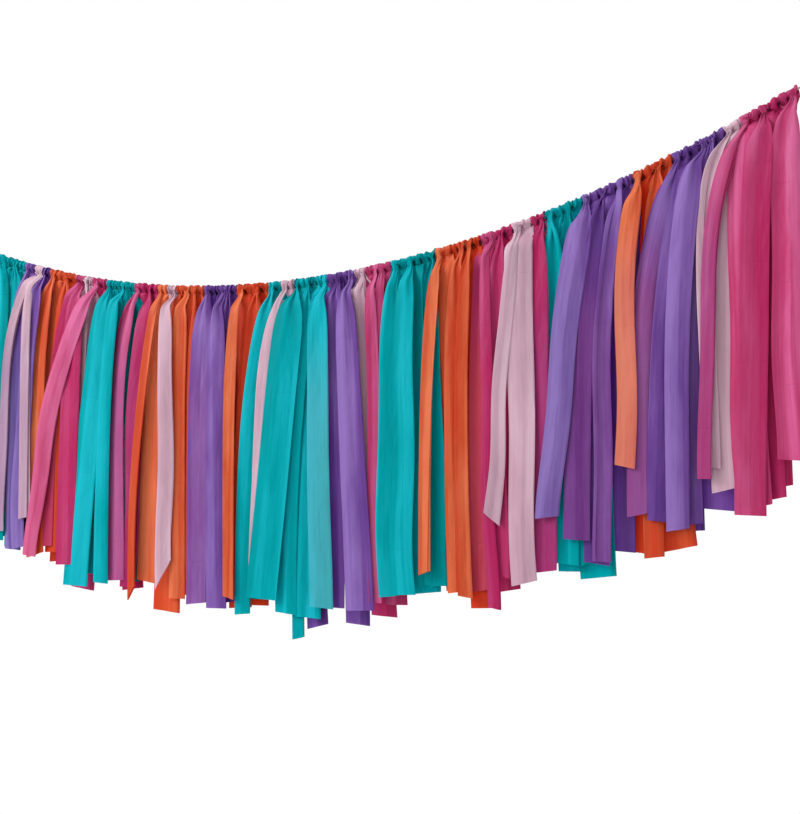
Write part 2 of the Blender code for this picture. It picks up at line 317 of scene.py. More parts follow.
# %% Aside, width and layer of every tail
HANGS = (
    # each pair: the tail of the first length, then the tail of the second, in millimetres and layers
    ((-14, 35, 2), (-8, 40, -1)),  # 1 teal
    ((-19, 32, 1), (-15, 40, -2)),  # 2 teal
    ((-23, 30, 2), (-20, 40, -1)),  # 3 purple
    ((-61, 15, 3), (-14, 15, 5)),  # 4 blush
    ((-39, 26, 4), (-29, 40, -2)),  # 5 purple
    ((-26, 30, 3), (-20, 40, -1)),  # 6 orange
    ((-23, 32, 2), (-23, 40, -2)),  # 7 orange
    ((-16, 34, 4), (-54, 22, 3)),  # 8 pink
    ((-11, 15, 1), (-11, 36, -1)),  # 9 blush
    ((-109, 30, 5), (-39, 40, -2)),  # 10 pink
    ((-50, 41, 4), (-44, 40, -1)),  # 11 teal
    ((-25, 24, 5), (-29, 40, -2)),  # 12 teal
    ((-40, 36, 1), (-10, 36, -1)),  # 13 teal
    ((-39, 30, 3), (-22, 34, -2)),  # 14 pink
    ((-35, 26, 2), (-16, 26, -1)),  # 15 pink
    ((-45, 15, 4), (-28, 32, 1)),  # 16 orange
    ((-4, 22, 5), (-8, 36, -2)),  # 17 blush
    ((-10, 24, 3), (-29, 40, 1)),  # 18 orange
    ((-17, 20, 2), (-16, 40, -1)),  # 19 orange
    ((-20, 32, 3), (-16, 40, -2)),  # 20 purple
    ((-5, 28, 4), (-12, 40, -1)),  # 21 purple
    ((-13, 30, 2), (-10, 36, -2)),  # 22 purple
    ((-17, 16, 5), (-11, 36, 1)),  # 23 orange
    ((-29, 26, 2), (-19, 40, -2)),  # 24 orange
    ((-47, 24, 3), (-28, 40, -1)),  # 25 teal
    ((-44, 15, 4), (-10, 30, -1)),  # 26 blush
    ((-50, 45, 5), (-7, 15, 1)),  # 27 teal
    ((-37, 34, 3), (-32, 40, -2)),  # 28 teal
    ((-2, 32, 5), (-24, 34, 2)),  # 29 teal
    ((-7, 40, 3), (-33, 28, -1)),  # 30 purple
    ((12, 38, 5), (1, 34, -2)),  # 31 purple
    ((0, 22, 3), (-3, 36, -1)),  # 32 blush
    ((3, 16, 4), (0, 30, -2)),  # 33 pink
    ((-13, 16, 3), (2, 28, -1)),  # 34 pink
    ((-16, 22, 4), (-2, 40, -2)),  # 35 teal
    ((-13, 28, 5), (-1, 32, 2)),  # 36 teal
    ((2, 26, 2), (-18, 40, -1)),  # 37 teal
    ((-25, 15, 5), (7, 30, 2)),  # 38 orange
    ((-8, 30, 3), (-19, 40, -2)),  # 39 orange
    ((-14, 16, 4), (1, 30, 1)),  # 40 orange
    ((-5, 15, 4), (-15, 34, 2)),  # 41 pink
    ((-15, 26, 3), (-11, 32, -1)),  # 42 pink
    ((-36, 18, 5), (-5, 31, 4)),  # 43 blush
    ((-5, 28, 3), (-6, 40, -1)),  # 44 pink
    ((0, 36, 2), (5, 40, -2)),  # 45 teal
    ((-2, 34, 1), (14, 40, -1)),  # 46 teal
    ((-51, 30, 5), (-16, 40, 1)),  # 47 purple
    ((-41, 28, 4), (-23, 30, 2)),  # 48 purple
    ((-32, 20, 3), (-22, 38, -1)),  # 49 purple
    ((-24, 22, 4), (-20, 36, -2)),  # 50 orange
    ((-22, 24, 2), (-6, 40, -1)),  # 51 orange
    ((-57, 24, 3), (-16, 40, -2)),  # 52 purple
    ((-53, 30, 4), (-36, 26, 5)),  # 53 purple
    ((-41, 26, 2), (-18, 40, -1)),  # 54 purple
    ((-31, 18, 4), (-20, 24, 3)),  # 55 blush
    ((-52, 15, 5), (-13, 38, 4)),  # 56 pink
    ((-13, 24, 2), (-28, 30, 5)),  # 57 pink
    ((-23, 20, 1), (-12, 32, 5)),  # 58 pink
)
MILLIMETRE = 0.001
print(f"{sum(layer > 0 for pair in HANGS for _, _, layer in pair)} tails hang in front")

# %% [markdown]
# ## Tails that stand out
# A few tails differ from the rest. Four short tables name them by strip and by tail, which is 0 or 1 as in
# the pairs above. They say how much paler or deeper the film looks, partly its own tone and partly painted
# light on tails that hang in shade and painted shade on others, which colour shows through it from behind,
# how soon it is pushed aside, and how its foot is cut on a slant.

# %% Tones with painted light and shade, tints, bends and cuts
TAIL_TONES_AND_PAINTED_LIGHT = {
    # strip and tail: paler above 0, deeper below; partly the film's own tone, partly painted light on tails
    # in shade and painted shade
    (1, 0): -0.12, (1, 1): -0.12, (2, 0): -0.08, (4, 1): 0.24, (8, 0): -0.20, (8, 1): -0.05,
    (10, 0): 0.24, (10, 1): -0.10, (12, 0): 0.12, (14, 0): 0.15, (15, 0): -0.10, (16, 0): 0.18,
    (16, 1): 0.30, (18, 0): 0.15, (19, 1): 0.10, (21, 0): 0.12, (23, 0): 0.20, (24, 0): -0.10,
    (27, 0): -0.05, (28, 0): -0.08, (29, 0): 0.25, (31, 0): 0.10, (32, 0): 0.12, (32, 1): 0.10,
    (33, 0): 0.15, (36, 0): 0.06, (36, 1): -0.12, (37, 0): -0.15, (38, 0): 0.20, (40, 0): 0.10,
    (40, 1): -0.20, (41, 0): -0.05, (42, 0): -0.08, (43, 0): 0.12, (44, 0): -0.10, (47, 0): 0.22,
    (48, 0): -0.08, (49, 0): 0.15, (50, 0): 0.12, (52, 0): 0.10, (53, 1): 0.20, (54, 0): 0.08,
    (55, 1): 0.20, (56, 0): 0.16, (56, 1): -0.12, (57, 0): -0.25, (57, 1): -0.22, (58, 0): -0.15,
    (58, 1): 0.08,
}
TAIL_TINTS = {
    # strip and tail: the colour that hangs behind it, and how much of it shows through
    (3, 0): ("teal", 0.10), (4, 0): ("purple", 0.30), (4, 1): ("purple", 0.16), (5, 0): ("teal", 0.06),
    (8, 1): ("orange", 0.22), (10, 0): ("orange", 0.10), (14, 0): ("purple", 0.28),
    (15, 0): ("purple", 0.12), (20, 0): ("pink", 0.15), (29, 0): ("blush", 0.10), (32, 1): ("pink", 0.10),
    (41, 1): ("orange", 0.40), (44, 0): ("purple", 0.25), (47, 0): ("teal", 0.06),
    (48, 0): ("pink", 0.15), (49, 0): ("pink", 0.12), (50, 0): ("blush", 0.18), (52, 0): ("pink", 0.36),
    (55, 1): ("pink", 0.08), (56, 0): ("purple", 0.25),
}
TAIL_BENDS = {
    # strip and tail: the share of its length over which it is pushed aside
    (3, 0): 0.12, (4, 0): 0.20, (4, 1): 0.12, (6, 0): 0.14, (10, 0): 0.55, (14, 0): 0.18, (16, 0): 0.50,
    (27, 0): 2.00, (38, 0): 0.60, (43, 0): 1.20, (47, 0): 1.20, (55, 0): 0.14,
}
TAIL_CUTS = {
    # strip and tail: how much higher the right end of its foot is than the left, in metres
    (16, 0): 0.018, (17, 0): 0.036, (43, 0): -0.012, (46, 0): 0.010,
}
print(f"{len(TAIL_TONES_AND_PAINTED_LIGHT)} tails have a tone of their own, {len(TAIL_TINTS)} show what is behind them")

# %% [markdown]
# ## How the film folds
# Film doesn't stretch, so its width is laid out step by step along a line that turns left and right:
# the more it turns, the narrower the strip gets, and its length across stays the same. Drawn into the
# knot it makes a few deep, uneven pleats. The fine ones die away first, and one or two broad folds run on
# to the foot. A crease is a sharp half turn of the line, so a creased strip lies in two or three layers.
# Creases seldom run quite straight, so they move a little across the film on the way down.

# %% Line across the film
COLUMNS = 40
PLEATS = (
    # waves across the film at least and at most, strength, and how soon it dies away
    (1.6, 2.3, 1.15, 0.9),
    (2.8, 3.8, 0.95, 1.4),
    (4.4, 5.6, 0.55, 2.2),
)
TIGHT_TURN = 1.9
SHARPEST_TURN = 2.1
CREASE_WIDTH = 0.065


def creases_at(look, down):
    """Places of a tail's creases across the film at a share of its length, with the hand of each."""
    moved = look["slant"] * (down - 0.5)
    return [(place + moved * number, hand) for number, (place, hand) in enumerate(look["creases"], start=1)]


def across_film(drawn, fold, look, down=0.0):
    """Places across the film, and how far each lies behind, drawn together by a share, with a soft fold."""
    u = (np.arange(COLUMNS) + 0.5) / COLUMNS
    creases = creases_at(look, down)
    along = np.abs(u - creases[0][0]) if creases else u.copy()
    half_turns = np.zeros(COLUMNS)
    for place, hand in creases:
        half_turns += hand * math.pi * np.clip((u - place) / CREASE_WIDTH + 0.5, 0.0, 1.0)
    if len(creases) > 1:
        first, second = (place for place, _ in creases)
        along = np.where(u > second, 2 * second - first - u, along)
    turn = fold * np.sin(2 * math.pi * look["folds"] * along + look["fold_phase"])
    for (_, _, strength, haste), (waves, phase) in zip(PLEATS, look["pleats"]):
        turn += TIGHT_TURN * strength * drawn**haste * np.sin(2 * math.pi * waves * along + phase)
    turn = SHARPEST_TURN * np.tanh(turn / SHARPEST_TURN) + half_turns
    step = FILM_WIDTH / COLUMNS
    x = np.concatenate(([0.0], np.cumsum(np.cos(turn)) * step))
    y = np.concatenate(([0.0], np.cumsum(np.sin(turn)) * step))
    return x - (x.max() + x.min()) / 2, y - (y.max() + y.min()) / 2


# %% [markdown]
# ## How a strip is tied
# Each strip is folded in half and tied with a lark's head, its bar at the back. Followed from one foot, the
# film climbs as a tail, goes up in front of the twine and over it, comes down behind, crosses to the right
# as the bar, and then does all of that backwards to the other foot. One strip is therefore one long ribbon.
# Each station below is a place of the ribbon's middle in the knot, as shares of the knot's half width, of
# its wrap and of its height, with the turn of the ribbon's width in its plane and the share of its room
# that the ribbon spreads over. It is narrow in the neck and bunched in the bar.

# %% Stations of a knot
WRAP_RADIUS = 0.0027
NECK_DEPTH = 0.0070
NECK_SHARE = 0.66
WIDE_NECK_SHARE = 2.60
FRONT_NECK_DEPTH = -0.0018
BACK_NECK_DEPTH = 0.0012
BAR_DROP = 0.0046
BAR_BEHIND = 0.0044
BAR_SHARE = 0.72
UPPER_STATION = (-1.00, -0.85, -0.34, 0.00, 0.84)
LOWER_STATION = (-0.80, -0.40, -0.36, 0.00, 1.40)
NECK_START = 0.80
KNOT_STATIONS = (
    # across, behind, above, quarter turns of the width, share of the room
    (-1.00, -1.00, 0.00, 0.00, 1.00),
    (-1.00, -0.70, 0.75, 0.00, 1.12),
    (-1.00, 0.00, 1.05, 0.00, 1.14),
    (-1.00, 0.70, 0.75, 0.00, 1.08),
    (-1.04, 1.05, 0.10, 0.05, 0.95),
    (-1.16, 1.30, -0.16, 0.30, 0.85),
    (-1.12, 1.48, -0.38, 0.68, 0.78),
    (-0.62, 1.60, -0.54, 0.94, 0.74),
)


def knot_stations(half, left_look, right_look):
    """Places of the ribbon's middle from neck to neck: across, behind, above, turn, share of its room."""
    sides = []
    for look in (left_look, right_look):
        side = [(-half * look["starts"], look["neck_depth"], -NECK_START * NECK_DEPTH, 0.0, look["neck"])]
        for across, behind, above, turn, share in (look["station"], *KNOT_STATIONS):
            height = above * (WRAP_RADIUS if above > 0 else NECK_DEPTH)
            side.append((across * half, behind * WRAP_RADIUS, height, turn, share))
        sides.append(side)
    left, right = sides
    right = [(-across, behind, above, 2.0 - turn, share) for across, behind, above, turn, share in right]
    return [*left, (0.0, BAR_BEHIND, -BAR_DROP, 1.0, BAR_SHARE), *reversed(right)]


# %% Lie of one strip on the twine
def lie_of(strip):
    """Middle of a strip's room on the twine, the slope there, and the room that each of its wraps has."""
    _, start, stop, _, _ = strip
    low, high = twine_height(start), twine_height(stop)
    middle = Vector(((start + stop) / 2, 0.0, (low + high) / 2))
    return middle, math.atan2(high - low, stop - start), math.hypot(stop - start, high - low) / 2


# %% [markdown]
# ## One tail
# A tail leaves its knot as a narrow neck and opens downwards. Its rows follow a middle line that drifts
# aside without getting longer, each row square to that line, so the cut at the foot leans as the tail does.

# %% Rows of a tail
TAIL_ROWS = 40
ROW_GATHER = 1.6
FIRST_FRONT = 0.0028
FRONT_STEP = 0.0029
FIRST_BACK = 0.0034
BACK_STEP = 0.0042
LAYER_DROP = 0.022
LEVEL_DROP = 0.045
MEET_DROP = 0.020
STEEPEST = 0.72
KNOT_THICKNESS = 0.30
TAIL_THICKNESS = 0.66
NECK_FOLD = 0.3
TWIST_HASTE = 3
CUT_FROM = 0.7


def ease(value):
    """A smooth step from 0 to 1."""
    value = min(max(value, 0.0), 1.0)
    return value * value * (3 - 2 * value)


def depth_of(layer):
    """How far behind the twine a layer hangs; the front layers lie at negative depths."""
    if layer > 0:
        return -FIRST_FRONT - FRONT_STEP * (layer - 1)
    return FIRST_BACK - BACK_STEP * (layer + 1)


def tail_points(strip, side, length, look):
    """Rows of points from the neck to the foot of one tail, hanging left (-1) or right (1) in its knot."""
    middle, slope, room = lie_of(strip)
    reach = length - NECK_DEPTH
    gone = [reach * (row / TAIL_ROWS) ** ROW_GATHER for row in range(TAIL_ROWS + 1)]
    opened = [1 - math.exp(-hung / look["opening"]) for hung in gone]
    centre = []
    for hung in gone:
        share = hung / reach
        drift = look["aside"] * (1 - math.exp(-share / look["bend"])) / (1 - math.exp(-1 / look["bend"]))
        sway = look["wobble"] * math.sin(2 * math.pi * share * look["waves"] + look["phase"]) * share
        start = side * room / 2 * look["starts"] * (1 - look["moves"] * ease(hung / MEET_DROP))
        centre.append(start + drift + sway)
    for row in range(1, TAIL_ROWS + 1):
        most = STEEPEST * (gone[row] - gone[row - 1])
        centre[row] = centre[row - 1] + min(max(centre[row] - centre[row - 1], -most), most)
    rows = []
    below = NECK_DEPTH
    for row, (hung, open_share) in enumerate(zip(gone, opened)):
        before, after = max(row - 1, 0), min(row + 1, TAIL_ROWS)
        lean = math.asin((centre[after] - centre[before]) / (gone[after] - gone[before]))
        if row:
            step = gone[row] - gone[row - 1]
            below += math.sqrt(step**2 - (centre[row] - centre[row - 1]) ** 2)
        level = ease(hung / LEVEL_DROP)
        tilt = slope * (1 - level) + lean * level
        share = hung / reach
        fold = look["fold_top"] + (look["fold_foot"] - look["fold_top"]) * ease(share)
        x, y = across_film(1 - open_share, fold * (NECK_FOLD + (1 - NECK_FOLD) * open_share), look, share)
        tight = look["neck"] * room / (x.max() - x.min())
        x = x * (tight + (1 - tight) * open_share)
        y = y * (KNOT_THICKNESS + (TAIL_THICKNESS - KNOT_THICKNESS) * open_share)
        twist = look["twist"] * ease(TWIST_HASTE * share) * math.cos(math.pi * look["waves"] * share)
        behind = look["neck_depth"] + (look["depth"] - look["neck_depth"]) * ease(hung / LAYER_DROP)
        cut = look["cut"] * ease((share - CUT_FROM) / (1 - CUT_FROM)) / (x.max() - x.min())
        raised = side * room / 2 * math.sin(slope) * (1 - level)
        across = x * math.cos(twist)
        points = zip(
            centre[row] + across * math.cos(tilt),
            behind + y + x * math.sin(twist),
            raised + across * math.sin(tilt) - below + cut * x,
        )
        rows.append([middle + Vector(point) for point in points])
    return rows


# %% [markdown]
# ## The ribbon through its knot
# In the knot the same line across the film is carried along the stations. At each station the ribbon's
# own direction and the turn of its width give a frame, and the pleats stand out from it. The pleats of
# one tail change into those of the other on the way.

# %% Rows of a knot
KNOT_STEP = 0.0012
KNOT_FOLD = 0.3
KNOT_DRAWN = 0.42
KNOT_BULGE = 0.0011


def knot_points(strip, left_look, right_look):
    """Rows of points from the left neck over the twine, across the bar and back to the right neck."""
    middle, slope, room = lie_of(strip)
    stations = knot_stations(room / 2, left_look, right_look)
    places = smooth_line([station[:3] for station in stations], KNOT_STEP)
    turns, shares = [], []
    for first, second in zip(stations, stations[1:]):
        count = max(1, round((Vector(second[:3]) - Vector(first[:3])).length / KNOT_STEP))
        for number in range(count):
            turns.append(first[3] + (second[3] - first[3]) * number / count)
            shares.append(first[4] + (second[4] - first[4]) * number / count)
    turned = Matrix.Rotation(-slope, 3, "Y")
    rows = []
    for number in range(1, len(places) - 1):
        ahead = (places[number + 1] - places[number - 1]).normalized()
        angle = turns[number] * math.pi / 2
        width = Vector((math.cos(angle), 0.0, math.sin(angle)))
        width = (width - ahead * width.dot(ahead)).normalized()
        out = ahead.cross(width)
        gone = number / len(places)
        drawn = KNOT_DRAWN + (1 - KNOT_DRAWN) * (2 * gone - 1) ** 4
        x_left, y_left = across_film(drawn, KNOT_FOLD, left_look)
        x_right, y_right = across_film(drawn, KNOT_FOLD, right_look)
        x = x_left - (x_right[::-1] + x_left) * ease(gone)
        y = (y_left + (y_right[::-1] - y_left) * ease(gone)) * KNOT_THICKNESS
        y = y - KNOT_BULGE * (1 - np.linspace(-1, 1, COLUMNS + 1) ** 2)
        x = x * shares[number] * room / (x.max() - x.min())
        rows.append([middle + turned @ (places[number] + width * a + out * b) for a, b in zip(x, y)])
    return rows


# %% [markdown]
# ## The look of one tail
# No two tails of real film hang alike. A seeded draw gives each its own pleats, folds, twist and cut, the
# same in every run. A narrow tail is creased and goes aside soon, and a broad one bends over its whole
# length. The rear tail of a strip opens soon and starts near the middle, behind the front one.

# %% Look of one tail
TWICE_CREASED_BELOW = 0.0220
LATE_OPENING = 0.019
SOON_OPENING = 0.006
SOFT_FOLD = 0.27
BACK_FOLD_SHARE = 0.65
# painted light on the front layers and painted shade on the rear ones, one step a layer from the middle
# layer
LAYER_LIGHT_AND_SHADE_STEP = 0.035
MIDDLE_LAYER = 2
TONE_PLAY = 0.13
SLANT = 0.16
NARROW_BELOW = 0.5
NARROW_SLANT = 0.4
BEND_REACH = 0.6
MOST_HASTE = 3.2
HASTE_LOST = 2.9
FOLD_COUNT = (0.9, 2.0)
FOLD_AT_TOP = (0.8, 1.3)
FOLD_AT_FOOT = (0.4, 0.9)
OPENING_PLAY = (0.8, 1.3)
SOON_START = 0.1
LATE_MOVE = 0.6
MOST_TWIST = 12
TWIST_REACH = 1.2
MOST_WOBBLE = 0.0038
WOBBLE_WAVES = (0.6, 1.9)
CUT_PLAY = 0.005


def look_of(aside, wide, layer, rear, chance):
    """How one tail hangs: its drift, depth, creases, pleats, folds, twist and cut."""
    creases = []
    hand = chance.choice((-1, 1))
    share = wide / FILM_WIDTH
    if wide < TWICE_CREASED_BELOW:
        creases = [(share, hand), (2 * share, -hand)]
    elif wide < FILM_WIDTH:
        creases = [(share if chance.random() < 0.5 else 1 - share, hand)]
    folds = chance.uniform(*FOLD_COUNT)
    soft = SOFT_FOLD * (1.0 if layer > 0 else BACK_FOLD_SHARE)
    return {
        "aside": aside,
        "bend": BEND_REACH / (MOST_HASTE - HASTE_LOST * share),
        "slant": chance.uniform(-SLANT, SLANT) * (1.0 if share > NARROW_BELOW else NARROW_SLANT),
        "depth": depth_of(layer),
        "creases": creases,
        "pleats": [
            (chance.uniform(least, most), chance.uniform(0, 2 * math.pi)) for least, most, _, _ in PLEATS
        ],
        "folds": folds,
        "fold_phase": chance.uniform(0, 2 * math.pi),
        "fold_top": soft * folds * chance.uniform(*FOLD_AT_TOP),
        "fold_foot": soft * folds * chance.uniform(*FOLD_AT_FOOT),
        "opening": SOON_OPENING if rear else LATE_OPENING * chance.uniform(*OPENING_PLAY),
        "neck": WIDE_NECK_SHARE if rear else NECK_SHARE,
        "neck_depth": BACK_NECK_DEPTH if rear else FRONT_NECK_DEPTH,
        "station": LOWER_STATION if rear else UPPER_STATION,
        "starts": SOON_START if rear else 1.0,
        "moves": 1.0 if rear else LATE_MOVE,
        # the film's own tone at random, with painted light and shade by layer
        "tone_and_painted_light": LAYER_LIGHT_AND_SHADE_STEP * (layer - MIDDLE_LAYER) + chance.uniform(-TONE_PLAY, TONE_PLAY),
        "twist": math.radians(chance.uniform(-MOST_TWIST, MOST_TWIST)) * (TWIST_REACH - share),
        "wobble": chance.uniform(0.0, MOST_WOBBLE),
        "waves": chance.uniform(*WOBBLE_WAVES),
        "phase": chance.uniform(0, 2 * math.pi),
        "cut": chance.uniform(-CUT_PLAY, CUT_PLAY),
    }


# %% [markdown]
# ## Tone with painted light and shade, and tint
# Thin film shows what lies behind it, but every piece here is solid. So each strip carries two attributes,
# and its finish reads them. The tone is a number: the film's own tone, with painted light and shade in it.
# It falls where the film is doubled, and as painted shade in the valleys of its pleats, past the edge of a
# film behind it, and in the small gaps beside the necks. It is paler on the front layers and deeper on the
# rear ones, as painted light and shade. The tint is the colour that shows through from behind, with its
# share, which grows on the way down.

# %% Painted shade in the gaps, and doubled film
HOLE_PAINTED_SHADE = 0.80
HOLE_DROP = 0.0050
HOLE_WIDTH = 0.0015
HOLE_HEIGHT = 0.0026
DOUBLE_SHADE = 0.10
DOUBLE_EDGE = 0.002
DOUBLE_FROM = 0.08


def painted_hole_shades(strip, rows):
    """Painted shade at each point, darkest in the small gaps beside the necks, where shade falls behind the
    film.
    """
    middle, slope, room = lie_of(strip)
    points = np.array([tuple(point) for row in rows for point in row]) - np.array(middle)
    above = points[:, 2] - math.tan(slope) * points[:, 0]
    shade = np.zeros(len(points))
    for hole in (-room, 0.0, room):
        beside = (points[:, 0] - hole * math.cos(slope)) / HOLE_WIDTH
        shade = np.maximum(shade, np.exp(-(beside**2) - ((above + HOLE_DROP) / HOLE_HEIGHT) ** 2))
    return HOLE_PAINTED_SHADE * shade * (points[:, 1] < BAR_BEHIND / 2)


def double_shades(look, count):
    """How much deeper the film is at each row and column, for every further layer in which it lies."""
    u = np.linspace(0.0, 1.0, COLUMNS + 1)
    rows = []
    for down in (np.arange(count) / (count - 1)) ** ROW_GATHER:
        ends = [0.0, *(place for place, _ in creases_at(look, down)), 1.0]
        place, way, spans = 0.0, 1, []
        at = np.zeros(COLUMNS + 1)
        for first, second in zip(ends, ends[1:]):
            inside = (u >= first) & (u <= second)
            at[inside] = place + way * (u[inside] - first)
            spans.append(sorted((place, place + way * (second - first))))
            place += way * (second - first)
            way = -way
        layers = sum((at > low - DOUBLE_EDGE) & (at < high + DOUBLE_EDGE) for low, high in spans)
        rows.append(DOUBLE_SHADE * (layers - 1) * ease(down / DOUBLE_FROM))
    return np.array(rows)


# %% Painted shade past edges behind and in pleats, and tints
EDGE_PAINTED_SHADE = (0.07, 0.17)
EDGE_PLACE = (0.10, 0.90)
EDGE_LEAN = 0.55
EDGE_SOFT = 0.0024
EDGE_FROM = 0.12
SECOND_EDGE = 0.45
THIRD_EDGE = 0.75
PLEAT_PAINTED_SHADE = 0.15
PLEAT_DEPTH = 0.0016
PLEAT_FROM = 0.02
PLEATED = 0.30
TINT_BELOW = 0.10
TINT_FULL = 0.45


def edges_behind(wide, chance):
    """Edges of the films behind, where painted shade steps: each one's place across at the top, its lean,
    its hand and its strength.
    """
    share = wide / FILM_WIDTH
    return [
        (
            chance.uniform(*EDGE_PLACE),
            chance.uniform(-EDGE_LEAN, EDGE_LEAN),
            chance.choice((-1, 1)),
            chance.uniform(*EDGE_PAINTED_SHADE),
        )
        for _ in range(1 + (share > SECOND_EDGE) + (share > THIRD_EDGE))
    ]


def painted_edge_and_pleat_shades(look, rows):
    """Painted shade at each row and column: deeper past the edges of films behind it and in its pleats'
    valleys.
    """
    shades = []
    for number, row in enumerate(rows):
        down = (number / (len(rows) - 1)) ** ROW_GATHER
        x = np.array([point.x for point in row])
        low, wide = x.min(), x.max() - x.min()
        shade = np.zeros(COLUMNS + 1)
        # painted shade on one side of each edge of a film behind, as it shows through
        for place, lean, hand, strength in look["edges"]:
            past = hand * (x - low - (place + lean * down) * wide) / EDGE_SOFT
            shade += strength * (np.clip(past + 0.5, 0.0, 1.0) - 0.5)
        y = np.array([point.y for point in row])
        # painted shade in the valleys of the pleats, fading below the knot
        deep = PLEAT_PAINTED_SHADE * np.clip((y - y.mean()) / PLEAT_DEPTH, -1.0, 1.0)
        deep = deep * (1 - ease(down / PLEATED)) * ease(down / PLEAT_FROM)
        shades.append(shade * ease(down / EDGE_FROM) + deep)
    return np.array(shades)


def tints_of(look, count):
    """For each row from the neck down, the colour behind that shows through and its share."""
    name, share = look["tint"]
    down = (np.arange(count) / (count - 1)) ** ROW_GATHER
    shares = [share * ease((value - TINT_BELOW) / (TINT_FULL - TINT_BELOW)) for value in down]
    return np.array([(*COLOURS[name][1], value) for value in shares])


# %% [markdown]
# ## One strip as a mesh
# A grid is added flat, one face for each step across and along, and its points then take the places that
# the rows give. A Solidify modifier gives the film its wall, and every strip keeps a UV map: across the film
# and along it, in metres, so that streaks and creases follow the film.

# %% Both tails of a strip
CHANCE_SEED = 40
EDGE_SEED = 900


def tails_of(number, strip):
    """The left and the right tail of a strip: the length and the look of each."""
    colour, _, _, *lengths = strip
    chance = random.Random(CHANCE_SEED + number)
    edge_chance = random.Random(EDGE_SEED + number)
    rear_layer = min(layer for _, _, layer in HANGS[number - 1])
    tails = []
    for length, (aside, wide, layer) in zip(lengths, HANGS[number - 1]):
        tail = (number, len(tails))
        look = look_of(aside * MILLIMETRE, wide * MILLIMETRE, layer, layer == rear_layer, chance)
        look["tone_and_painted_light"] += TAIL_TONES_AND_PAINTED_LIGHT.get(tail, 0.0)
        look["edges"] = edges_behind(wide * MILLIMETRE, edge_chance)
        look["tint"] = TAIL_TINTS.get(tail, (colour, 0.0))
        look["bend"] = TAIL_BENDS.get(tail, look["bend"])
        look["cut"] = TAIL_CUTS.get(tail, look["cut"])
        tails.append((length, look))
    return sorted(tails, key=lambda tail: tail[1]["aside"])


# %% UV map, tone with painted light and shade, and tint of a strip
DEEPEST_TONE = -0.26


def lay_uv(piece, rows):
    """Give a strip its UV map, across and along the film, and return the length along its middle."""
    along = [0.0]
    for first, second in zip(rows, rows[1:]):
        along.append(along[-1] + (second[COLUMNS // 2] - first[COLUMNS // 2]).length)
    layer = piece.data.uv_layers.active or piece.data.uv_layers.new(name="film")
    layer.name = "film"
    for loop in piece.data.loops:
        row, column = divmod(loop.vertex_index, COLUMNS + 1)
        layer.data[loop.index].uv = (FILM_WIDTH * column / COLUMNS, along[row])
    return along[-1]


def paint(piece, strip, rows, left, right):
    """Give a strip its tone, with painted light and shade, and its tint at every point, from the rows and
    the looks of its two tails.
    """
    (left_rows, left_look), (right_rows, right_look) = left, right
    knot_count = len(rows) - len(left_rows) - len(right_rows)
    change = np.clip((np.arange(len(rows)) - len(left_rows) + 1) / (knot_count + 1), 0.0, 1.0)
    tones_and_painted_light = left_look["tone_and_painted_light"] + (right_look["tone_and_painted_light"] - left_look["tone_and_painted_light"]) * change
    left_shades, right_shades = (
        double_shades(look, len(tail)) + painted_edge_and_pleat_shades(look, tail) for tail, look in (left, right)
    )
    shades = (left_shades[::-1].ravel(), np.zeros(knot_count * (COLUMNS + 1)), right_shades[:, ::-1].ravel())
    tones_and_painted_light = np.repeat(tones_and_painted_light, COLUMNS + 1) - np.concatenate(shades)
    tones_and_painted_light = np.maximum(tones_and_painted_light, DEEPEST_TONE) - painted_hole_shades(strip, rows)
    piece.data.attributes.new("tone_and_painted_light", "FLOAT", "POINT").data.foreach_set("value", tones_and_painted_light)
    left_tints, right_tints = (tints_of(look, len(tail)) for tail, look in (left, right))
    tints = np.concatenate((left_tints[::-1], np.zeros((knot_count, 4)), right_tints))
    tint = piece.data.attributes.new("tint", "FLOAT_COLOR", "POINT")
    tint.data.foreach_set("color", tints.repeat(COLUMNS + 1, axis=0).ravel())


# %% Build a strip
FILM_THICKNESS = 0.0003
SOFT_EDGE = math.radians(70)


def make_strip(number, strip):
    """One strip of film, tied over the twine, as one sheet with a thin wall, and its ribbon's length."""
    (left_length, left_look), (right_length, right_look) = tails_of(number, strip)
    left = tail_points(strip, -1, left_length, left_look)
    right = tail_points(strip, 1, right_length, right_look)
    knot = knot_points(strip, left_look, right_look)
    # The width runs left to right in the left tail, and right to left once the film has turned over
    rows = list(reversed(left)) + knot + [list(reversed(row)) for row in right]
    bpy.ops.object.select_all(action="DESELECT")
    bpy.ops.mesh.primitive_grid_add(x_subdivisions=COLUMNS, y_subdivisions=len(rows) - 1, size=1.0)
    piece = bpy.context.object
    piece.name = piece.data.name = f"film_{number:02d}_{strip[0]}"
    piece.data.vertices.foreach_set("co", np.array([tuple(p) for row in rows for p in row]).ravel())
    cut_length = lay_uv(piece, rows)
    paint(piece, strip, rows, (left, left_look), (right, right_look))
    wall = piece.modifiers.new("wall", "SOLIDIFY")
    wall.thickness = FILM_THICKNESS
    wall.offset = 0.0
    bpy.ops.object.modifier_apply(modifier=wall.name)
    bpy.ops.object.shade_smooth_by_angle(angle=SOFT_EDGE)
    return piece, cut_length


# %% [markdown]
# ## Film finishes
# Party film is thin coloured polyethylene. It is satin, not glossy, and light comes through it, so a single
# layer against the light looks pale and several layers look deep. The finish mixes a satin surface with
# a translucent one. Fine streaks run along the film as it was drawn, and faint creases cross it where it
# was folded in its packet.

# %% A new material
def new_material(name):
    """A material with its nodes, links, Principled shader and output."""
    material = bpy.data.materials.new(name)
    material.use_nodes = True
    nodes, links = material.node_tree.nodes, material.node_tree.links
    return material, nodes, links, nodes["Principled BSDF"], nodes["Material Output"]


